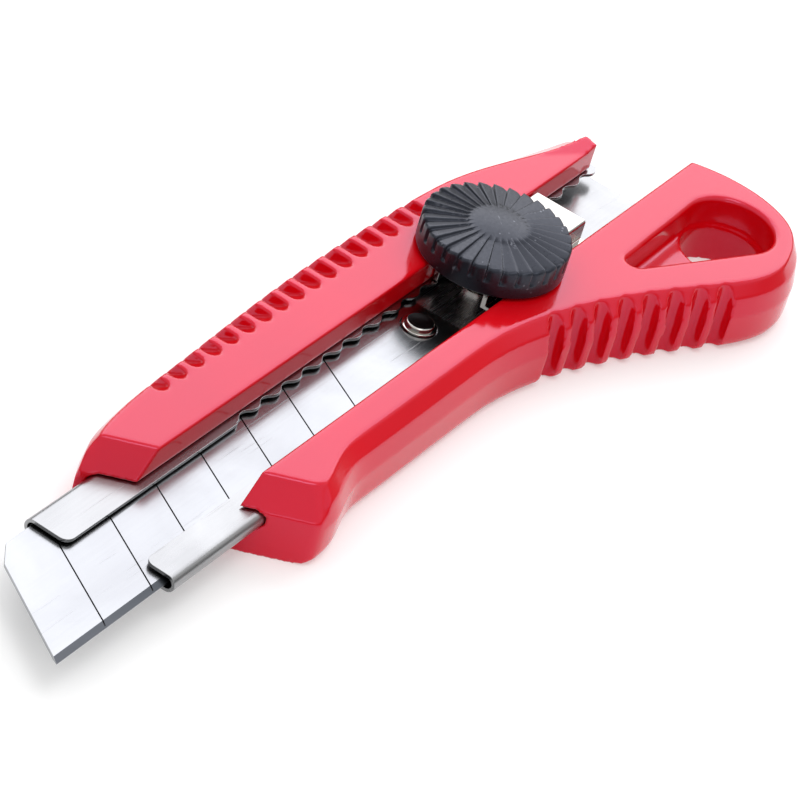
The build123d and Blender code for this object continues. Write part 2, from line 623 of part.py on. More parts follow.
def rib_cutters():
    """Saw-tooth steps around the wheel: sloping cuts in the face and short cuts down the rim."""
    step = 360.0 / WHEEL_RIBS
    radius = WHEEL_DIAMETER / 2
    boss = WHEEL_BOSS_DIAMETER / 2
    rim_top = WHEEL_BOTTOM + WHEEL_RIM
    crown = rim_top + WHEEL_CROWN
    reach = radius + 1.0

    def tooth(at, top, depth):
        """Triangular section of a cut across the face at a distance from the middle."""
        width = 2 * RIB_WIDTH_SHARE * at * math.tan(math.radians(step / 2))
        over = top + RIB_STEP_OUTER
        corners = [(at, 0, over), (at, 0, top - depth), (at, width, top + RIB_RUN_OUT), (at, width, over)]
        return make_face(Polyline(*corners, close=True))

    inner = tooth(boss, crown, RIB_STEP_INNER)
    outer = tooth(reach, rim_top - WHEEL_CROWN / (radius - boss), RIB_STEP_OUTER)
    face_cut = loft([inner, outer], ruled=True)
    swing = math.radians(step * RIB_SIDE_SHARE)
    notch = [
        (radius - RIB_STEP_SIDE, 0), (reach, 0), (reach * math.cos(swing), reach * math.sin(swing)),
        (radius * math.cos(swing), radius * math.sin(swing)),
    ]
    side_cut = prism(notch, rim_top - RIB_SIDE_HEIGHT, crown + 1.0)
    cutters = []
    for index in range(WHEEL_RIBS):
        turn = Pos(STUD_X, 0, 0) * Rot(0, 0, index * step)
        cutters.append(turn * face_cut)
        cutters.append(turn * side_cut)
    return cutters


def lock_wheel():
    """Ribbed plastic wheel with a blind seat for its threaded insert."""
    wheel = Pos(STUD_X, 0, 0) * revolve(wheel_profile(), axis=Axis.Z)
    for cutter in rib_cutters():
        wheel -= cutter
    seat_top = WHEEL_BOTTOM + STUD_IN_WHEEL + 2 * STACK_GAP
    wheel -= rod(STUD_X, 0, 0, seat_top, STUD_HOLE_DIAMETER)
    return wheel - insert_blank()


def insert_blank():
    """Outer shape of the insert: a body with a narrower collar below it."""
    shoulder = WHEEL_BOTTOM + INSERT_COLLAR_HEIGHT
    collar = rod(STUD_X, 0, WHEEL_BOTTOM, shoulder, INSERT_COLLAR_DIAMETER)
    return collar + rod(STUD_X, 0, shoulder, WHEEL_BOTTOM + INSERT_HEIGHT, INSERT_DIAMETER)


def wheel_insert():
    """Brass insert moulded into the wheel, running on the stud."""
    return insert_blank() - rod(STUD_X, 0, 0, 2 * RAIL_TOP, STUD_DIAMETER + 2 * THREAD_RUNNING)


def main():
    """Builds every piece, moves the origin under the middle of the whole and writes the files."""
    pieces = {
        "handle_body": handle_body(),
        "blade_channel": blade_channel(),
        "blade": blade(),
        "slider_plate": slider_plate(),
        "blade_pin": blade_pin(),
        "lock_stud": lock_stud(),
        "saddle": saddle(),
        "friction_washer": friction_washer(),
        "lock_wheel": lock_wheel(),
        "wheel_insert": wheel_insert(),
    }
    span = Compound(children=[Compound([piece]) for piece in pieces.values()]).bounding_box()
    shift = Pos(-(span.min.X + span.max.X) / 2, -(span.min.Y + span.max.Y) / 2, -span.min.Z)
    os.makedirs("parts", exist_ok=True)
    for name, piece in pieces.items():
        export_step(shift * piece, f"parts/{name}.step")
    print("origin moved by", tuple(round(value, 4) for value in shift.position))


main()
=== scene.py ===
"""Finished look of the wheel-lock snap-off knife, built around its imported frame.

Every length is in metres, in the frame's own axes: +X to the blade's tip, +Y to the cutting
edge and +Z up from the resting face. MM turns the millimetres of a drawing into metres.
"""
import json
import logging
import math
from dataclasses import dataclass, field
from enum import Enum

import bmesh
import bpy
import numpy as np
from mathutils import Matrix, Vector


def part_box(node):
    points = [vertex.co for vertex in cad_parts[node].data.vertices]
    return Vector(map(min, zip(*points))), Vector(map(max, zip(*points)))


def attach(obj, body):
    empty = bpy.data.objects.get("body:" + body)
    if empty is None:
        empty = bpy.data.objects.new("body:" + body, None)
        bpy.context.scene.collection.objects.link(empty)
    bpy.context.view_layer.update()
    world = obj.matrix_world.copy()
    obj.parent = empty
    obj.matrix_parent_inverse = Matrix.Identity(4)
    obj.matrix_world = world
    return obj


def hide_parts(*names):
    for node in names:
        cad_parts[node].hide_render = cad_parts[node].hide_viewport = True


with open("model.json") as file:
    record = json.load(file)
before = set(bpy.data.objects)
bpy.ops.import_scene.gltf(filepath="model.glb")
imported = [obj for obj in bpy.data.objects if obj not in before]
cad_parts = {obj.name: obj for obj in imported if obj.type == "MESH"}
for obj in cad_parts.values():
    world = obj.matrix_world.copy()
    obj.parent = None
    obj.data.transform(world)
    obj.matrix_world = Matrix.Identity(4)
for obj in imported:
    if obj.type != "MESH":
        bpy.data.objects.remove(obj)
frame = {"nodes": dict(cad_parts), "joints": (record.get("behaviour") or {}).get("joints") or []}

MM = 0.001
CAD_MERGE = 0.0015 * MM
TURNED_MERGE = 0.0005 * MM
FLAT_WITHIN = 0.2
TOUCHING = 0.01 * MM
LOG = logging.getLogger("knife")


class Slot(Enum):
    """Material slots of the record."""

    HANDLE = "handle_red"
    CHANNEL = "channel_steel"
    BLADE = "blade_steel"
    PLATE = "plate_steel"
    PLATING = "bright_plating"
    WHEEL = "wheel_black"
    INSERT = "insert_brass"


class Body(Enum):
    """Moving bodies of the frame."""

    HANDLE = "handle"
    SLIDER = "slider"
    WASHER = "washer"
    WHEEL = "wheel"


class Grain(Enum):
    """Direction in which a metal's fine lines run."""

    ALONG = "along"
    ACROSS = "across"


# ---------------------------------------------------------------- materials


class Shading:
    """Node graph of one material, laid out on the piece's own Object coordinates."""

    def __init__(self, name: str) -> None:
        """Starts a material.

        Args:
            name: the material's name.
        """
        self.material = bpy.data.materials.new(name)
        self.material.use_nodes = True
        self.nodes = self.material.node_tree.nodes
        self.links = self.material.node_tree.links
        self.surface = self.nodes["Principled BSDF"]
        self.place = self.nodes.new("ShaderNodeTexCoord").outputs["Object"]

    def constant(self, **values: float | tuple) -> None:
        """Sets sockets of the surface shader; an underscore in a name stands for a space.

        Args:
            values: socket names and their values.
        """
        for name, value in values.items():
            self.surface.inputs[name.replace("_", " ")].default_value = value

    def wire(self, socket: bpy.types.NodeSocket, name: str) -> None:
        """Links a socket to the surface shader's input of that name.

        Args:
            socket: the output to link from.
            name: the input's name.
        """
        self.links.new(socket, self.surface.inputs[name])

    def stretched(self, scale: tuple, offset: tuple = (0.0, 0.0, 0.0)) -> bpy.types.NodeSocket:
        """Scales Object coordinates about a point.

        Args:
            scale: factor along each axis.
            offset: the point that becomes the pattern's origin.

        Returns:
            The scaled coordinates.
        """
        mapping = self.nodes.new("ShaderNodeMapping")
        mapping.inputs["Scale"].default_value = scale
        mapping.inputs["Location"].default_value = [-o * s for o, s in zip(offset, scale)]
        self.links.new(self.place, mapping.inputs["Vector"])
        return mapping.outputs["Vector"]

    def noise(self, scale: float, detail: float = 2.0, place: bpy.types.NodeSocket | None = None,
              distortion: float = 0.0) -> bpy.types.NodeSocket:
        """Soft noise.

        Args:
            scale: how many lumps a metre holds.
            detail: how many finer layers are added.
            place: coordinates, or None for plain Object coordinates.
            distortion: how far the pattern is bent.

        Returns:
            A value around a half.
        """
        node = self.nodes.new("ShaderNodeTexNoise")
        node.inputs["Scale"].default_value = scale
        node.inputs["Detail"].default_value = detail
        node.inputs["Distortion"].default_value = distortion
        self.links.new(place or self.place, node.inputs["Vector"])
        return node.outputs["Fac"]

    def cells(self, scale: float, place: bpy.types.NodeSocket | None = None) -> bpy.types.NodeSocket:
        """Distance from the nearest of many scattered points.

        Args:
            scale: how many points a metre holds.
            place: coordinates, or None for plain Object coordinates.

        Returns:
            The distance, in cells.
        """
        node = self.nodes.new("ShaderNodeTexVoronoi")
        node.inputs["Scale"].default_value = scale
        self.links.new(place or self.place, node.inputs["Vector"])
        return node.outputs["Distance"]

    def spread(self, value: bpy.types.NodeSocket, low: float, high: float,
               start: float = 0.3, end: float = 0.7) -> bpy.types.NodeSocket:
        """Maps a value from one range to another and holds it there.

        Args:
            value: the value.
            low: result at the start.
            high: result at the end.
            start: value that gives low.
            end: value that gives high.

        Returns:
            The mapped value.
        """
        node = self.nodes.new("ShaderNodeMapRange")
        node.inputs["From Min"].default_value = start
        node.inputs["From Max"].default_value = end
        node.inputs["To Min"].default_value = low
        node.inputs["To Max"].default_value = high
        self.links.new(value, node.inputs["Value"])
        return node.outputs["Result"]

    def combine(self, operation: str, first: bpy.types.NodeSocket,
                second: bpy.types.NodeSocket | float) -> bpy.types.NodeSocket:
        """Joins two values by one arithmetic operation.

        Args:
            operation: name of the Math node's operation.
            first: a value.
            second: another value, or a number.

        Returns:
            The result.
        """
        node = self.nodes.new("ShaderNodeMath")
        node.operation = operation
        self.links.new(first, node.inputs[0])
        if isinstance(second, float):
            node.inputs[1].default_value = second
        else:
            self.links.new(second, node.inputs[1])
        return node.outputs["Value"]

    def tint(self, share: bpy.types.NodeSocket, low: tuple, high: tuple) -> bpy.types.NodeSocket:
        """Blends two colours by a share.

        Args:
            share: 0 for the first colour and 1 for the second.
            low: first colour, linear red, green and blue.
            high: second colour.

        Returns:
            The blended colour.
        """
        node = self.nodes.new("ShaderNodeMix")
        node.data_type = "RGBA"
        node.inputs["A"].default_value = (*low, 1.0)
        node.inputs["B"].default_value = (*high, 1.0)
        self.links.new(share, node.inputs["Factor"])
        return node.outputs[2]

    def relief(self, height: bpy.types.NodeSocket, depth: float) -> None:
        """Adds a fine relief over what is there already.

        Args:
            height: a value around a half.
            depth: height of the relief, in metres.
        """
        bump = self.nodes.new("ShaderNodeBump")
        bump.inputs["Strength"].default_value = 1.0
        bump.inputs["Distance"].default_value = depth
        self.links.new(height, bump.inputs["Height"])
        normal = self.surface.inputs["Normal"]
        if normal.is_linked:
            self.links.new(normal.links[0].from_socket, bump.inputs["Normal"])
        self.links.new(bump.outputs["Normal"], normal)

    def edges(self, start: float, end: float) -> bpy.types.NodeSocket:
        """Share that grows from 0 on flat places to 1 on outer edges.

        Args:
            start: bend at which the share leaves 0.
            end: bend at which it reaches 1.

        Returns:
            The share.
        """
        geometry = self.nodes.new("ShaderNodeNewGeometry")
        return self.spread(geometry.outputs["Pointiness"], 0.0, 1.0, start, end)


@dataclass(frozen=True)
class GlossPlastic:
    """Glossy moulded plastic with a slight flow and fine handling scratches."""

    name: str
    colour: tuple
    deep: tuple
    roughness: float = 0.11
    scuff_roughness: float = 0.12
    bend: float = 1.56
    sheen: tuple = (1.0, 0.6, 1.0, 1.0)
    depth_share: float = 0.05
    depth_radius: tuple = (1.0, 0.12, 0.1)
    flow_scale: float = 28.0
    scuff_scale: float = 900.0
    scuff_depth: float = 0.0012 * MM
    patch_scale: float = 70.0
    ripple_scale: float = 420.0
    ripple_depth: float = 0.004 * MM

    def material(self) -> bpy.types.Material:
        """Makes the material.

        Returns:
            The material.
        """
        make = Shading(self.name)
        make.constant(IOR=self.bend, Specular_Tint=self.sheen, Subsurface_Weight=self.depth_share,
                      Subsurface_Scale=1.0 * MM, Subsurface_Radius=self.depth_radius)
        flow = make.noise(self.flow_scale, 3.0, distortion=0.6)
        make.wire(make.tint(make.spread(flow, 0.0, 1.0), self.colour, self.deep), "Base Color")
        scuffs = make.noise(self.scuff_scale, 4.0, make.stretched((0.08, 1.0, 1.0)))
        scuffed = make.spread(scuffs, 0.0, 1.0, 0.6, 0.72)
        patches = make.spread(make.noise(self.patch_scale, 2.0), 0.0, 1.0)
        worn = make.combine("MULTIPLY", scuffed, patches)
        rough = make.spread(worn, self.roughness, self.roughness + self.scuff_roughness, 0.0, 1.0)
        make.wire(rough, "Roughness")
        make.relief(make.noise(self.ripple_scale, 2.0), self.ripple_depth)
        make.relief(scuffs, self.scuff_depth)
        return make.material


@dataclass(frozen=True)
class DrawnSteel:
    """Bright steel with fine lines that run one way, faint smudges and small scratches."""

    name: str
    colour: tuple
    shade: tuple
    roughness: float
    grain: Grain = Grain.ALONG
    line_depth: float = 0.002 * MM
    lines: float = 2600.0
    line_roughness: float = 0.02
    smudge_scale: float = 55.0
    smudge_low: float = -0.04
    smudge_high: float = 0.05
    scratch_scale: float = 700.0
    scratch_roughness: float = 0.1
    scratch_depth: float = 0.0004 * MM

    def material(self) -> bpy.types.Material:
        """Makes the material.

        Returns:
            The material.
        """
        make = Shading(self.name)
        make.constant(Metallic=1.0)
        stretch = (0.02, 1.0, 1.0) if self.grain is Grain.ALONG else (1.0, 0.03, 0.03)
        lines = make.noise(self.lines, 3.0, make.stretched(stretch))
        smudges = make.noise(self.smudge_scale, 4.0, distortion=0.8)
        scratches = make.noise(self.scratch_scale, 2.0, make.stretched((0.05, 1.6, 1.0)), 1.5)
        cut = make.spread(scratches, 0.0, 1.0, 0.66, 0.7)
        make.wire(make.tint(make.spread(smudges, 0.0, 1.0), self.colour, self.shade), "Base Color")
        from_lines = make.spread(lines, -self.line_roughness, self.line_roughness)
        from_smudges = make.spread(smudges, self.smudge_low, self.smudge_high)
        from_cuts = make.spread(cut, 0.0, self.scratch_roughness, 0.0, 1.0)
        added = make.combine("ADD", make.combine("ADD", from_lines, from_smudges), from_cuts)
        make.wire(make.combine("ADD", added, self.roughness), "Roughness")
        make.relief(lines, self.line_depth)
        make.relief(cut, self.scratch_depth)
        return make.material


@dataclass(frozen=True)
class Plating:
    """Bright plating over pressed steel, with a faint ripple and small pits."""

    name: str
    colour: tuple
    roughness: float = 0.07
    rippled_roughness: float = 0.08
    tone_scale: float = 160.0
    ripple_scale: float = 650.0
    ripple_depth: float = 0.004 * MM
    pit_scale: float = 1500.0
    pit_depth: float = 0.003 * MM

    def material(self) -> bpy.types.Material:
        """Makes the material.

        Returns:
            The material.
        """
        make = Shading(self.name)
        make.constant(Metallic=1.0)
        ripple = make.noise(self.ripple_scale, 3.0)
        pits = make.spread(make.cells(self.pit_scale), 1.0, 0.0, 0.04, 0.1)
        dull = tuple(0.8 * part for part in self.colour)
        tone = make.spread(make.noise(self.tone_scale, 3.0), 0.0, 1.0)
        make.wire(make.tint(tone, self.colour, dull), "Base Color")
        make.wire(make.spread(ripple, self.roughness, self.roughness + self.rippled_roughness), "Roughness")
        make.relief(ripple, self.ripple_depth)
        make.relief(pits, self.pit_depth)
        return make.material


@dataclass(frozen=True)
class WornPlastic:
    """Satin black plastic: fine moulded texture, pale rubbed edges and specks."""

    name: str
    colour: tuple
    rubbed: tuple
    roughness: float
    centre: Vector
    wear: float = 0.55
    sheen: tuple = (0.74, 0.80, 1.0, 1.0)
    chip_scale: float = 1300.0
    speck_scale: float = 800.0
    patch_scale: float = 210.0
    rub_inner: float = 4.4 * MM
    rub_outer: float = 6.4 * MM
    grain_scale: float = 2400.0
    grain_depth: float = 0.006 * MM

    def material(self) -> bpy.types.Material:
        """Makes the material.

        Returns:
            The material.
        """
        make = Shading(self.name)
        make.constant(IOR=1.5, Specular_Tint=self.sheen)
        specks = make.spread(make.cells(self.speck_scale), 1.0, 0.0, 0.1, 0.16)
        sparse = make.spread(make.noise(self.patch_scale, 2.0), 0.0, 1.0, 0.52, 0.62)
        spots = make.combine("MULTIPLY", specks, sparse)
        marks = make.combine("MAXIMUM", self.rubbing(make), spots)
        marks = make.combine("MULTIPLY", marks, self.wear)
        make.wire(make.tint(marks, self.colour, self.rubbed), "Base Color")
        grain = make.noise(self.grain_scale, 3.0)
        make.wire(make.spread(grain, self.roughness - 0.06, self.roughness + 0.08), "Roughness")
        make.relief(grain, self.grain_depth)
        return make.material

    def rubbing(self, make: Shading) -> bpy.types.NodeSocket:
        """Share of rubbed plastic: broken lines along the edges, strongest round the boss.

        Args:
            make: the material being made.

        Returns:
            The share.
        """
        broken = make.spread(make.noise(self.chip_scale, 3.0), 0.0, 1.0, 0.42, 0.62)
        edge = make.combine("MULTIPLY", make.edges(0.52, 0.58), broken)
        middle = make.nodes.new("ShaderNodeVectorMath")
        middle.operation = "LENGTH"
        flat = make.stretched((1.0, 1.0, 0.0), tuple(self.centre))
        make.links.new(flat, middle.inputs[0])
        near_boss = make.spread(middle.outputs["Value"], 1.0, 0.35, self.rub_inner, self.rub_outer)
        return make.combine("MULTIPLY", edge, near_boss)


@dataclass(frozen=True)
class TurnedBrass:
    """Brass with fine turning rings about an upright axis."""

    name: str
    colour: tuple
    axis: Vector
    ring_scale: float = 1400.0
    ring_depth: float = 0.003 * MM
    tone_scale: float = 300.0

    def material(self) -> bpy.types.Material:
        """Makes the material.

        Returns:
            The material.
        """
        make = Shading(self.name)
        make.constant(Metallic=1.0)
        rings = make.nodes.new("ShaderNodeTexWave")
        rings.wave_type = "RINGS"
        rings.rings_direction = "Z"
        rings.inputs["Scale"].default_value = self.ring_scale
        rings.inputs["Distortion"].default_value = 0.6
        place = make.stretched((1.0, 1.0, 1.0), tuple(self.axis))
        make.links.new(place, rings.inputs["Vector"])
        tone = make.spread(make.noise(self.tone_scale, 3.0), 0.0, 1.0)
        dull = tuple(0.7 * part for part in self.colour)
        make.wire(make.tint(tone, self.colour, dull), "Base Color")
        make.wire(make.spread(rings.outputs["Fac"], 0.22, 0.34, 0.0, 1.0), "Roughness")
        make.relief(rings.outputs["Fac"], self.ring_depth)
        return make.material


# ---------------------------------------------------------------- mesh work


def placed(name: str, mesh: bpy.types.Mesh, body: Body,
           stands_for: tuple = ()) -> bpy.types.Object:
    """Puts a finished mesh in the scene as a piece of the knife.

    Args:
        name: the piece's name.
        mesh: its mesh, already in place.
        body: the moving body that it rides on.
        stands_for: CAD nodes that it replaces.

    Returns:
        The piece.
    """
    mesh.name = name
    piece = bpy.data.objects.new(name, mesh)
    bpy.context.scene.collection.objects.link(piece)
    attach(piece, body.value)
    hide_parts(*stands_for)
    LOG.info("%s: %d faces", name, len(mesh.polygons))
    return piece


def finished(bm: bmesh.types.BMesh, smooth_below: float = 32.0) -> bpy.types.Mesh:
    """Turns a bmesh into a smooth-shaded mesh that keeps its sharp edges.

    Args:
        bm: the bmesh, which is freed.
        smooth_below: edges that bend less than this many degrees are shaded smooth.

    Returns:
        The mesh.
    """
    limit = math.radians(smooth_below)
    for face in bm.faces:
        face.smooth = True
    for edge in bm.edges:
        edge.smooth = len(edge.link_faces) == 2 and edge.calc_face_angle(0.0) < limit
    mesh = bpy.data.meshes.new("piece")
    bm.to_mesh(mesh)
    bm.free()
    return mesh


def plain_copy(node: str) -> bmesh.types.BMesh:
    """Copies a CAD node's mesh with its loose triangles merged and its flat faces joined.

    Args:
        node: the CAD node.

    Returns:
        The copy.
    """
    mesh = frame["nodes"][node].data.copy()
    if "custom_normal" in mesh.attributes:
        mesh.attributes.remove(mesh.attributes["custom_normal"])
    bm = bmesh.new()
    bm.from_mesh(mesh)
    bpy.data.meshes.remove(mesh)
    for face in bm.faces:
        face.material_index = 0
    bmesh.ops.remove_doubles(bm, verts=bm.verts, dist=CAD_MERGE)
    bmesh.ops.dissolve_limit(bm, angle_limit=math.radians(FLAT_WITHIN), verts=bm.verts, edges=bm.edges)
    bm.normal_update()
    return bm


def flattened(piece: bpy.types.Object) -> None:
    """Lets the large flat faces of a sheet piece set the shading of the narrow ones beside them.

    Args:
        piece: the piece, which gets a modifier.
    """
    weights = piece.modifiers.new("flat_faces_lead", "WEIGHTED_NORMAL")
    weights.keep_sharp = True


def eased(bm: bmesh.types.BMesh, width: float, segments: int = 2, above: float = 35.0) -> None:
    """Rounds off the sharp edges, as a pressed or stamped piece has them.

    Args:
        bm: the bmesh.
        width: width of the rounded strip.
        segments: strips across it.
        above: only edges that bend more than this many degrees are rounded.
    """
    limit = math.radians(above)
    sharp = [e for e in bm.edges if len(e.link_faces) == 2 and e.calc_face_angle(0.0) > limit]
    bmesh.ops.bevel(bm, geom=sharp, offset=width, offset_type="OFFSET", segments=segments,
                    profile=0.5, affect="EDGES", clamp_overlap=False, material=-1)


def rounded_surface(node: str, cuts: int) -> bpy.types.Mesh:
    """Divides a CAD node's triangles and swells the curved ones out to the true surface.

    A triangle's corners and normals lie on the true surface. A point inside it is moved half way
    to the mean of its projections on the three tangent planes, which is exact for a round arc.

    Args:
        node: the CAD node.
        cuts: how many parts each side of a curved triangle is cut into.

    Returns:
        A mesh of loose triangles.
    """
    mesh = frame["nodes"][node].data
    count = len(mesh.loops)
    corner = np.zeros(count, np.int32)
    mesh.loops.foreach_get("vertex_index", corner)
    points = np.array([v.co for v in mesh.vertices])[corner].reshape(-1, 3, 3)
    normals = np.array([n.vector for n in mesh.corner_normals]).reshape(-1, 3, 3)
    places = [(a, b) for a in range(cuts + 1) for b in range(cuts + 1 - a)]
    weights = np.array([(a, b, cuts - a - b) for a, b in places]) / cuts
    index = {place: number for number, place in enumerate(places)}
    small = []
    for a in range(cuts):
        for b in range(cuts - a):
            small.append((index[a, b], index[a + 1, b], index[a, b + 1]))
            if a + b < cuts - 1:
                small.append((index[a + 1, b], index[a + 1, b + 1], index[a, b + 1]))
    flat = np.einsum("si,tid->tsd", weights, points)
    pulled = np.zeros_like(flat)
    for i in range(3):
        away = np.einsum("tsd,td->ts", flat - points[:, None, i], normals[:, i])
        pulled += weights[None, :, i, None] * (flat - away[..., None] * normals[:, None, i])
    swollen = (flat + pulled) / 2
    first = np.arange(len(points)) * len(weights)
    triangles = np.array(small)[None] + first[:, None, None]
    made = bpy.data.meshes.new("swollen")
    made.from_pydata(swollen.reshape(-1, 3).tolist(), [], triangles.reshape(-1, 3).tolist())
    return made


def moulded_copy(node: str, voxel: float, passes: int, keep: float, cuts: int = 6) -> bpy.types.Mesh:
    """Remakes a CAD node as one even skin with softly rounded edges, as a moulding has them.

    Args:
        node: the CAD node.
        voxel: size of the skin's faces.
        passes: smoothing passes, which set how round the edges are.
        keep: share of the faces kept after the flat places are thinned.
        cuts: how finely curved triangles are divided first.

    Returns:
        The mesh.
    """
    shell = bpy.data.objects.new("shell", rounded_surface(node, cuts))
    bpy.context.scene.collection.objects.link(shell)
    remesh = shell.modifiers.new("skin", "REMESH")
    remesh.mode = "VOXEL"
    remesh.voxel_size = voxel
    soften = shell.modifiers.new("soften", "SMOOTH")
    soften.iterations = passes
    soften.factor = 0.5
    thin = shell.modifiers.new("thin", "DECIMATE")
    thin.ratio = keep
    skin = bpy.data.meshes.new_from_object(shell.evaluated_get(bpy.context.evaluated_depsgraph_get()))
    bpy.data.objects.remove(shell)
    for face in skin.polygons:
        face.use_smooth = True
    return skin


def turned(outline: list, centre: Vector, steps: int) -> bmesh.types.BMesh:
    """Turns an outline about an upright axis.

    Args:
        outline: (radius, height) points from the top of the axis round to its bottom.
        centre: foot of the axis.
        steps: facets round the axis.

    Returns:
        The closed, outward-facing bmesh.
    """
    bm = bmesh.new()
    verts = [bm.verts.new(centre + Vector((radius, 0.0, height))) for radius, height in outline]
    edges = [bm.edges.new(pair) for pair in zip(verts, verts[1:])]
    if min(outline[0][0], outline[-1][0]) > 0.0:
        edges.append(bm.edges.new((verts[-1], verts[0])))
    bmesh.ops.spin(bm, geom=verts + edges, cent=centre, axis=(0.0, 0.0, 1.0), dvec=(0.0, 0.0, 0.0),
                   angle=2 * math.pi, steps=steps, use_merge=True)
    bmesh.ops.remove_doubles(bm, verts=bm.verts, dist=TURNED_MERGE)
    bmesh.ops.recalc_face_normals(bm, faces=bm.faces)
    return bm


def arc(radius: float, height: float, size: float, start: float, end: float, steps: int = 4) -> list:
    """Points on an arc of an outline.

    Args:
        radius: the arc's middle, out from the axis.
        height: the arc's middle, up the axis.
        size: the arc's own radius.
        start: angle of its first point, in degrees, from straight outwards.
        end: angle of its last point.
        steps: parts that it is cut into.

    Returns:
        The points as (radius, height).
    """
    points = []
    for step in range(steps + 1):
        angle = math.radians(start + (end - start) * step / steps)
        points.append((radius + size * math.cos(angle), height + size * math.sin(angle)))
    return points


# ---------------------------------------------------------------- sub-assemblies


@dataclass
class Handle:
    """The one-piece red moulding."""

    voxel: float = 0.3 * MM
    passes: int = 3
    keep: float = 0.42
    finish: GlossPlastic = GlossPlastic("gloss_red", (0.64, 0.0016, 0.006), (0.57, 0.0014, 0.005))

    def build(self) -> None:
        """Makes and dresses the moulding."""
        mesh = moulded_copy("handle_body", self.voxel, self.passes, self.keep)
        piece = placed("handle_moulding", mesh, Body.HANDLE, ("handle_body",))
        piece.data.materials.append(self.finish.material())


@dataclass
class Channel:
    """The folded steel channel with its scalloped lip."""

    edge: float = 0.07 * MM
    finish: DrawnSteel = DrawnSteel("rolled_steel", (0.345, 0.348, 0.352), (0.30, 0.303, 0.308), 0.24,
                                   line_depth=0.0001 * MM)

    def build(self) -> None:
        """Makes and dresses the channel."""
        bm = plain_copy("blade_channel")
        eased(bm, self.edge)
        piece = placed("channel_sheet", finished(bm), Body.HANDLE, ("blade_channel",))
        flattened(piece)
        piece.data.materials.append(self.finish.material())


@dataclass
class Blade:
    """The snap-off blade, with its ground edge and score lines dressed apart; both carry near-black steel
    as painted shade.
    """

    grind_width: float = 1.1 * MM
    end_angle: float = 60.0
    score_from_end: float = 1.0 * MM
    hole_reach: float = 8.0 * MM
    hole_radius: float = 3.0 * MM
    face: DrawnSteel = DrawnSteel("blade_face", (0.33, 0.337, 0.349), (0.298, 0.303, 0.315), 0.2,
                                 line_depth=0.00005 * MM, lines=3400.0)
    # The ground edge keeps its cross grain and roughness, but its near-black colour is painted shade on the
    # sloping strips.
    grind: DrawnSteel = DrawnSteel("blade_grind_painted_shade", (0.085, 0.09, 0.10), (0.05, 0.055, 0.062), 0.32,
                                   Grain.ACROSS, 0.002 * MM, 4200.0)
    # Near-black steel in the score lines is painted shade in the grooves.
    score: DrawnSteel = DrawnSteel("blade_score_painted_shade", (0.03, 0.03, 0.035), (0.02, 0.02, 0.02), 0.5)

    def build(self) -> None:
        """Makes and dresses the blade."""
        low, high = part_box("blade")
        bm = plain_copy("blade")
        for face in bm.faces:
            # Faces of the ground edge and of the score lines get the near-black steels, which are painted
            # shade.
            if self.on_grind(face, high):
                face.material_index = 1
            elif self.in_score(face.calc_center_median(), face.normal, low, high):
                face.material_index = 2
        piece = placed("snap_blade", finished(bm, 6.0), Body.SLIDER, ("blade",))
        flattened(piece)
        for finish in (self.face, self.grind, self.score):
            piece.data.materials.append(finish.material())

    def on_grind(self, face: bmesh.types.BMFace, high: Vector) -> bool:
        """Tells whether a face is part of the ground cutting edge.

        Args:
            face: the face.
            high: highest corner of the blade.

        Returns:
            True on the sloping strips along the edge.
        """
        return face.calc_center_median().y > high.y - self.grind_width and 0.05 < abs(face.normal.z) < 0.99

    def in_score(self, point: Vector, normal: Vector, low: Vector, high: Vector) -> bool:
        """Tells whether a face is inside a score line.

        Args:
            point: middle of the face.
            normal: its direction.
            low: lowest corner of the blade.
            high: highest corner.

        Returns:
            True in a score line; False on the blade's faces, on its outline and in its hole.
        """
        if not low.z + 0.1 * MM < point.z < high.z - TOUCHING or point.y > high.y - self.grind_width:
            return False
        if point.x < low.x + self.score_from_end or abs(normal.y) > 0.95:
            return False
        middle = (low.y + high.y) / 2
        in_hole = point.x < low.x + self.hole_reach and abs(point.y - middle) < self.hole_radius
        slant = high.x - (high.y - point.y) / math.tan(math.radians(self.end_angle))
        on_outline = point.x > slant - self.score_from_end or point.y - low.y < 0.05 * MM
        return not in_hole and not on_outline


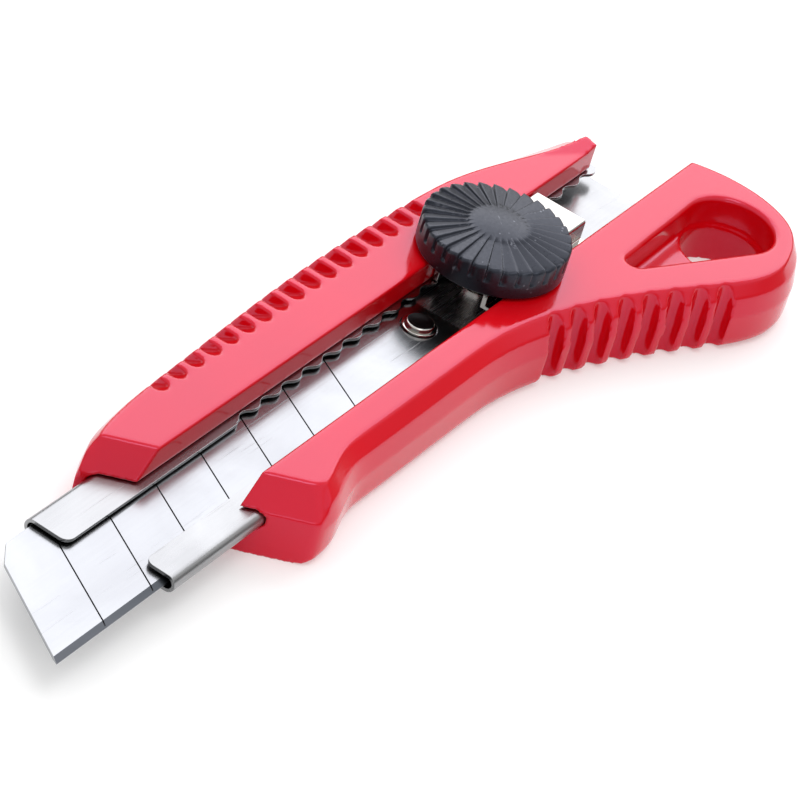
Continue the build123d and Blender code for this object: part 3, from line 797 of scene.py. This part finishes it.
@dataclass
class Slider:
    """The plate with its pin and lock stud, and the saddle over the lips."""

    edge: float = 0.06 * MM
    saddle_edge: float = 0.1 * MM
    pin_round: float = 0.28 * MM
    pin_dish: float = 0.1 * MM
    pin_head_step: float = 0.45 * MM
    pin_head_height: float = 0.65 * MM
    pin_neck_step: float = 0.9 * MM
    collar_round: float = 0.1 * MM
    head_rise: float = 0.02 * MM
    thread_pitch: float = 0.8 * MM
    thread_depth: float = 0.3 * MM
    thread_rows: int = 8
    plain_shank: float = 11.0 * MM
    shank_step: float = 1.0 * MM
    shank_foot: float = 0.3 * MM
    tip_ease: float = 0.4 * MM
    flange_height: float = 0.8 * MM
    flange_round: float = 0.12 * MM
    stud_neck_step: float = 0.5 * MM
    steps: int = 96
    plate: DrawnSteel = DrawnSteel("pressed_steel", (0.62, 0.62, 0.64), (0.5, 0.5, 0.52), 0.28)
    plating: Plating = Plating("bright_plating", (0.52, 0.50, 0.47))

    def build(self) -> None:
        """Makes and dresses the slider's four pieces."""
        plating = self.plating.material()
        bm = plain_copy("slider_plate")
        eased(bm, self.edge)
        plate = placed("carrier_plate", finished(bm), Body.SLIDER, ("slider_plate",))
        bm = plain_copy("saddle")
        eased(bm, self.saddle_edge, 3)
        saddle = placed("lip_saddle", finished(bm), Body.SLIDER, ("saddle",))
        pin = placed("blade_rivet", self.pin_mesh(), Body.SLIDER, ("blade_pin",))
        stud = placed("threaded_stud", self.stud_mesh(), Body.SLIDER, ("lock_stud",))
        for piece in (plate, saddle):
            flattened(piece)
        plate.data.materials.append(self.plate.material())
        for piece in (saddle, pin, stud):
            piece.data.materials.append(plating)

    def pin_mesh(self) -> bpy.types.Mesh:
        """Turns the blade's rivet: a neck, a collar and a slightly dished head.

        Returns:
            The mesh.
        """
        low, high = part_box("blade_pin")
        centre = Vector(((low.x + high.x) / 2, (low.y + high.y) / 2, 0.0))
        collar = (high.x - low.x) / 2
        head = collar - self.pin_head_step
        neck = collar - self.pin_neck_step
        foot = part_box("blade")[0].z
        shoulder = high.z - self.pin_head_height
        dish = high.z - self.pin_dish
        outline = [(0.0, dish), (0.55 * head, dish)]
        outline += arc(head - self.pin_round, high.z - self.pin_round, self.pin_round, 100.0, 0.0, 6)
        outline += [(head, shoulder + self.head_rise)]
        ease = self.collar_round
        outline += arc(collar - ease, shoulder - ease, ease, 90.0, 0.0)
        outline += [(collar, foot), (neck, foot), (neck, low.z), (0.0, low.z)]
        return finished(turned(outline, centre, self.steps))

    def stud_mesh(self) -> bpy.types.Mesh:
        """Turns the lock stud and cuts its thread above the plain shank.

        Returns:
            The mesh.
        """
        low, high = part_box("lock_stud")
        centre = Vector(((low.x + high.x) / 2, (low.y + high.y) / 2, 0.0))
        flange = (high.x - low.x) / 2
        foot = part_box("blade")[0].z
        shank = flange - self.shank_step
        neck = shank - self.stud_neck_step
        top = high.z - self.tip_ease
        threaded = top - self.plain_shank
        rows = round(threaded / (self.thread_pitch / self.thread_rows))
        flange_top = foot + self.flange_height
        outline = [(0.0, high.z), (shank - self.tip_ease, high.z)]
        outline += [(shank, top - row * threaded / rows) for row in range(rows + 1)]
        hollow = self.shank_foot
        outline += arc(shank + hollow, flange_top + hollow, hollow, 180.0, 270.0)
        ease = self.flange_round
        outline += arc(flange - ease, flange_top - ease, ease, 90.0, 0.0)
        outline += [(flange, foot), (neck, foot), (neck, low.z), (0.0, low.z)]
        bm = turned(outline, centre, self.steps)
        for vert in bm.verts:
            self.cut_thread(vert, centre, shank, top)
        return finished(bm, 50.0)

    def cut_thread(self, vert: bmesh.types.BMVert, centre: Vector, shank: float, top: float) -> None:
        """Moves one vertex of the shank in to the thread's helix.

        Args:
            vert: the vertex.
            centre: foot of the axis.
            shank: radius over the thread.
            top: height at which the thread ends.
        """
        out = Vector((vert.co.x - centre.x, vert.co.y - centre.y, 0.0))
        if out.length < shank - TOUCHING or not self.plain_shank < vert.co.z <= top:
            return
        turn = math.atan2(out.y, out.x) / (2 * math.pi)
        wave = abs(((vert.co.z / self.thread_pitch - turn) % 1.0) * 2 - 1)
        ends = min(1.0, (vert.co.z - self.plain_shank) / self.thread_pitch)
        vert.co -= out.normalized() * self.thread_depth * wave * ends


@dataclass
class LockWheel:
    """The ribbed wheel, its threaded insert and the washer under it."""

    ribs: int = 30
    rim: float = 4.7 * MM
    crown: float = 0.6 * MM
    boss: float = 4.2 * MM
    boss_rise: float = 0.4 * MM
    rib_inner: float = 0.2 * MM
    rib_outer: float = 0.42 * MM
    rib_start: float = 0.4 * MM
    side_depth: float = 0.4 * MM
    side_height: float = 2.5 * MM
    side_share: float = 0.3
    side_run_in: float = 0.2 * MM
    side_rows: tuple = (0.6 * MM, 0.2 * MM, 0.0, -0.15 * MM)
    face_share: float = 0.9
    step_share: float = 0.075
    boss_rows: int = 8
    face_rows: int = 10
    corner: float = 0.5 * MM
    corner_reach: float = 1.2
    foot_round: float = 0.4 * MM
    hollow: float = 1.4 * MM
    wall: float = 1.8 * MM
    hub: float = 5.5 * MM
    collar: float = 3.1 * MM
    collar_height: float = 0.8 * MM
    seat: float = 3.75 * MM
    seat_top: float = 3.6 * MM
    blind_bore: float = 2.7 * MM
    blind_top: float = 4.0 * MM
    insert_bore: float = 2.55 * MM
    insert_ease: float = 0.1 * MM
    washer_bore: float = 2.7 * MM
    washer_ease: float = 0.12 * MM
    steps: int = 96
    stations: tuple = (0.0, 0.035, 0.075, 0.2, 0.4, 0.55, 0.75, 0.9, 0.965)
    centre: Vector = field(default_factory=Vector)

    def __post_init__(self) -> None:
        """Places the wheel on its joint's axis and takes its radius from the CAD node."""
        low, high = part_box("lock_wheel")
        turn = next(joint for joint in frame["joints"] if joint["name"] == "wheel_turn")
        self.centre = Vector((turn["pos_m"][0], turn["pos_m"][1], low.z))
        self.radius = (high.x - low.x) / 2

    def build(self) -> None:
        """Makes and dresses the wheel's three pieces."""
        black = WornPlastic("satin_black", (0.004, 0.0045, 0.007), (0.28, 0.29, 0.33), 0.33, self.centre)
        brass = TurnedBrass("turned_brass", (0.72, 0.5, 0.2), self.centre)
        steel = DrawnSteel("washer_steel", (0.62, 0.62, 0.64), (0.52, 0.52, 0.54), 0.3)
        wheel = placed("ribbed_wheel", self.wheel_mesh(), Body.WHEEL, ("lock_wheel",))
        wheel.data.materials.append(black.material())
        insert = placed("threaded_insert", self.insert_mesh(), Body.WHEEL, ("wheel_insert",))
        insert.data.materials.append(brass.material())
        washer = placed("flat_washer", self.washer_mesh(), Body.WASHER, ("friction_washer",))
        washer.data.materials.append(steel.material())

    def wheel_outline(self) -> list:
        """Half section of the wheel before its ribs are cut.

        Returns:
            (radius, height) points from the top of the boss round to its blind seat.
        """
        top = self.rim + self.crown
        shoulder = self.radius - self.corner
        foot = self.rim - self.side_height
        inner = self.radius - self.wall
        outline = []
        for step in range(self.boss_rows + 1):
            share = step / self.boss_rows
            outline.append((self.boss * share, top + self.boss_rise * (1 - share ** 2)))
        outline.append((self.boss + self.rib_start, top))
        for step in range(1, self.face_rows):
            share = step / self.face_rows
            outline.append((self.boss + (shoulder - self.boss) * share, top - self.crown * share))
        outline += arc(shoulder, self.rim - self.corner, self.corner, 90.0, 0.0, 5)
        outline += [(self.radius, foot + row) for row in self.side_rows]
        outline += arc(self.radius - self.foot_round, self.foot_round, self.foot_round, 0.0, -90.0)
        outline += [(inner, 0.0), (inner, self.hollow), (self.hub, self.hollow), (self.hub, 0.0)]
        outline += [(self.collar, 0.0), (self.collar, self.collar_height), (self.seat, self.collar_height)]
        outline += [(self.seat, self.seat_top), (self.blind_bore, self.seat_top)]
        outline += [(self.blind_bore, self.blind_top), (0.0, self.blind_top)]
        return outline

    def wheel_mesh(self) -> bpy.types.Mesh:
        """Turns the wheel and cuts its saw-tooth ribs.

        Returns:
            The mesh.
        """
        steps = self.ribs * len(self.stations)
        bm = turned(self.wheel_outline(), self.centre, steps)
        for vert in bm.verts:
            out = Vector((vert.co.x - self.centre.x, vert.co.y - self.centre.y))
            if out.length < TOUCHING:
                continue
            station = round(math.atan2(out.y, out.x) / (2 * math.pi) * steps) % steps
            rib, place = divmod(station, len(self.stations))
            share = self.stations[place]
            angle = 2 * math.pi * (rib + share) / self.ribs
            height = vert.co.z - self.centre.z
            radius = out.length - self.side_cut(out.length, height, share)
            drop = self.face_cut(out.length, height, share)
            vert.co.x = self.centre.x + radius * math.cos(angle)
            vert.co.y = self.centre.y + radius * math.sin(angle)
            vert.co.z -= drop
        return finished(bm, 28.0)

    def face_cut(self, radius: float, height: float, share: float) -> float:
        """Depth of the saw-tooth cut in the wheel's face.

        Args:
            radius: distance from the axis.
            height: height over the wheel's foot.
            share: place across one rib, from 0 to 1.

        Returns:
            How far a point drops.
        """
        if radius < self.boss - TOUCHING or height < self.rim - self.corner_reach * self.corner:
            return 0.0
        along = (radius - self.boss) / (self.radius - self.boss)
        depth = self.rib_inner + (self.rib_outer - self.rib_inner) * along
        start = min(1.0, (radius - self.boss) / self.rib_start)
        return depth * start * self.tooth(share, self.face_share)

    def side_cut(self, radius: float, height: float, share: float) -> float:
        """Depth of the short cut down the wheel's rim.

        Args:
            radius: distance from the axis.
            height: height over the wheel's foot.
            share: place across one rib, from 0 to 1.

        Returns:
            How far a point moves in.
        """
        foot = self.rim - self.side_height
        if radius < self.radius - self.corner_reach * self.corner or height < foot:
            return 0.0
        start = min(1.0, (height - foot) / self.side_run_in)
        return self.side_depth * start * self.tooth(share, self.side_share)

    def tooth(self, share: float, reach: float) -> float:
        """Saw-tooth that is deepest just past its step and runs out further on.

        Args:
            share: place across one rib, from 0 to 1.
            reach: place at which the cut has run out.

        Returns:
            Depth from 0 to 1.
        """
        step = self.step_share
        if share < step:
            return 0.5 + 0.5 * share / step
        return max(0.0, 1.0 - (share - step) / (reach - step))

    def insert_mesh(self) -> bpy.types.Mesh:
        """Turns the brass insert.

        Returns:
            The mesh.
        """
        low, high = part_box("wheel_insert")
        centre = Vector((self.centre.x, self.centre.y, 0.0))
        bore = self.insert_bore
        ease = self.insert_ease
        step = low.z + self.collar_height
        outline = [(bore + ease, high.z), (self.seat - ease, high.z), (self.seat, high.z - ease)]
        outline += [(self.seat, step), (self.collar, step)]
        outline += [(self.collar, low.z + ease), (self.collar - ease, low.z)]
        outline += [(bore + ease, low.z), (bore, low.z + ease), (bore, high.z - ease)]
        return finished(turned(outline, centre, self.steps))

    def washer_mesh(self) -> bpy.types.Mesh:
        """Turns the flat washer.

        Returns:
            The mesh.
        """
        low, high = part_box("friction_washer")
        centre = Vector((self.centre.x, self.centre.y, 0.0))
        rim = (high.x - low.x) / 2
        bore = self.washer_bore
        ease = self.washer_ease
        outline = arc(rim - ease, high.z - ease, ease, 90.0, 0.0, 3)
        outline += arc(rim - ease, low.z + ease, ease, 0.0, -90.0, 3)
        outline += arc(bore + ease, low.z + ease, ease, 270.0, 180.0, 3)
        outline += arc(bore + ease, high.z - ease, ease, 180.0, 90.0, 3)
        return finished(turned(outline, centre, self.steps))


# ---------------------------------------------------------------- studio


@dataclass
class Camera:
    """The camera's place and aim."""

    place: tuple = (0.388619, 0.165152, 0.306164)
    right: tuple = (-0.53543, 0.80846, 0.24435)
    up: tuple = (-0.39196, -0.49413, 0.77601)
    back: tuple = (0.74812, 0.31973, 0.58146)
    lens: float = 170.99
    sensor: float = 36.0
    nearest: float = 0.01
    furthest: float = 20.0

    def build(self) -> None:
        """Makes the camera and hands it to the scene."""
        data = bpy.data.cameras.new("camera")
        data.lens = self.lens
        data.sensor_width = self.sensor
        data.clip_start = self.nearest
        data.clip_end = self.furthest
        camera = bpy.data.objects.new("camera", data)
        bpy.context.scene.collection.objects.link(camera)
        turn = Matrix((self.right, self.up, self.back)).transposed()
        camera.matrix_world = Matrix.Translation(self.place) @ turn.to_4x4()
        bpy.context.scene.camera = camera


@dataclass
class Softbox:
    """One large soft light that faces the knife."""

    name: str
    towards: tuple
    distance: float
    size: tuple
    power: float
    colour: tuple = (1.0, 1.0, 1.0)

    def build(self) -> None:
        """Makes the light."""
        data = bpy.data.lights.new(self.name, "AREA")
        data.shape = "RECTANGLE"
        data.size, data.size_y = self.size
        data.energy = self.power
        data.color = self.colour
        lamp = bpy.data.objects.new(self.name, data)
        bpy.context.scene.collection.objects.link(lamp)
        aim = Vector(self.towards).normalized()
        lamp.rotation_mode = "QUATERNION"
        lamp.rotation_quaternion = (-aim).to_track_quat("-Z", "Y")
        lamp.location = aim * self.distance


@dataclass
class Studio:
    """Pale floor, soft surroundings and softboxes."""

    floor_size: float = 8.0
    floor_colour: tuple = (0.72, 0.72, 0.72, 1.0)
    floor_roughness: float = 0.9
    floor_glow: float = 0.28
    white: tuple = (1.0, 1.0, 1.0, 1.0)
    horizon: float = 0.3
    overhead: float = 1.0
    horizon_height: float = 0.26
    overhead_height: float = 0.5
    lights: tuple = (
        Softbox("back_box", (-0.748, -0.32, 0.60), 0.75, (0.95, 0.55), 3.5, (0.95, 0.95, 1.0)),
        Softbox("top_box", (0.1, 0.2, 1.0), 1.0, (0.4, 0.4), 1.6),
        Softbox("front_fill", (0.75, 0.75, 0.45), 1.0, (0.4, 0.3), 0.5),
    )

    def build(self) -> None:
        """Makes the floor, the world and the lights."""
        bm = bmesh.new()
        bmesh.ops.create_grid(bm, x_segments=1, y_segments=1, size=self.floor_size / 2)
        mesh = bpy.data.meshes.new("studio_floor")
        bm.to_mesh(mesh)
        bm.free()
        floor = bpy.data.objects.new("studio_floor", mesh)
        bpy.context.scene.collection.objects.link(floor)
        paper = Shading("paper")
        paper.constant(Roughness=self.floor_roughness, Base_Color=self.floor_colour,
                       Emission_Color=self.white, Emission_Strength=self.floor_glow)
        mesh.materials.append(paper.material)
        self.build_sky()
        for light in self.lights:
            light.build()
        bpy.context.scene.view_settings.view_transform = "Standard"

    def build_sky(self) -> None:
        """Makes soft white surroundings that brighten from the horizon to overhead."""
        world = bpy.data.worlds.new("studio")
        bpy.context.scene.world = world
        world.use_nodes = True
        nodes = world.node_tree.nodes
        links = world.node_tree.links
        direction = nodes.new("ShaderNodeTexCoord").outputs["Generated"]
        split = nodes.new("ShaderNodeSeparateXYZ")
        grade = nodes.new("ShaderNodeMapRange")
        grade.inputs["From Min"].default_value = self.horizon_height
        grade.inputs["From Max"].default_value = self.overhead_height
        grade.inputs["To Min"].default_value = self.horizon
        grade.inputs["To Max"].default_value = self.overhead
        links.new(direction, split.inputs["Vector"])
        links.new(split.outputs["Z"], grade.inputs["Value"])
        links.new(grade.outputs["Result"], nodes["Background"].inputs["Strength"])
        nodes["Background"].inputs["Color"].default_value = self.white


def main() -> None:
    """Builds the knife's sub-assemblies, the studio and the camera."""
    logging.basicConfig(level=logging.INFO, format="%(name)s %(message)s")
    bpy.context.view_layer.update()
    Camera().build()
    for part in (Handle(), Channel(), Blade(), Slider(), LockWheel()):
        LOG.info("building %s", type(part).__name__)
        part.build()
    Studio().build()


if __name__ == "__main__":
    main()
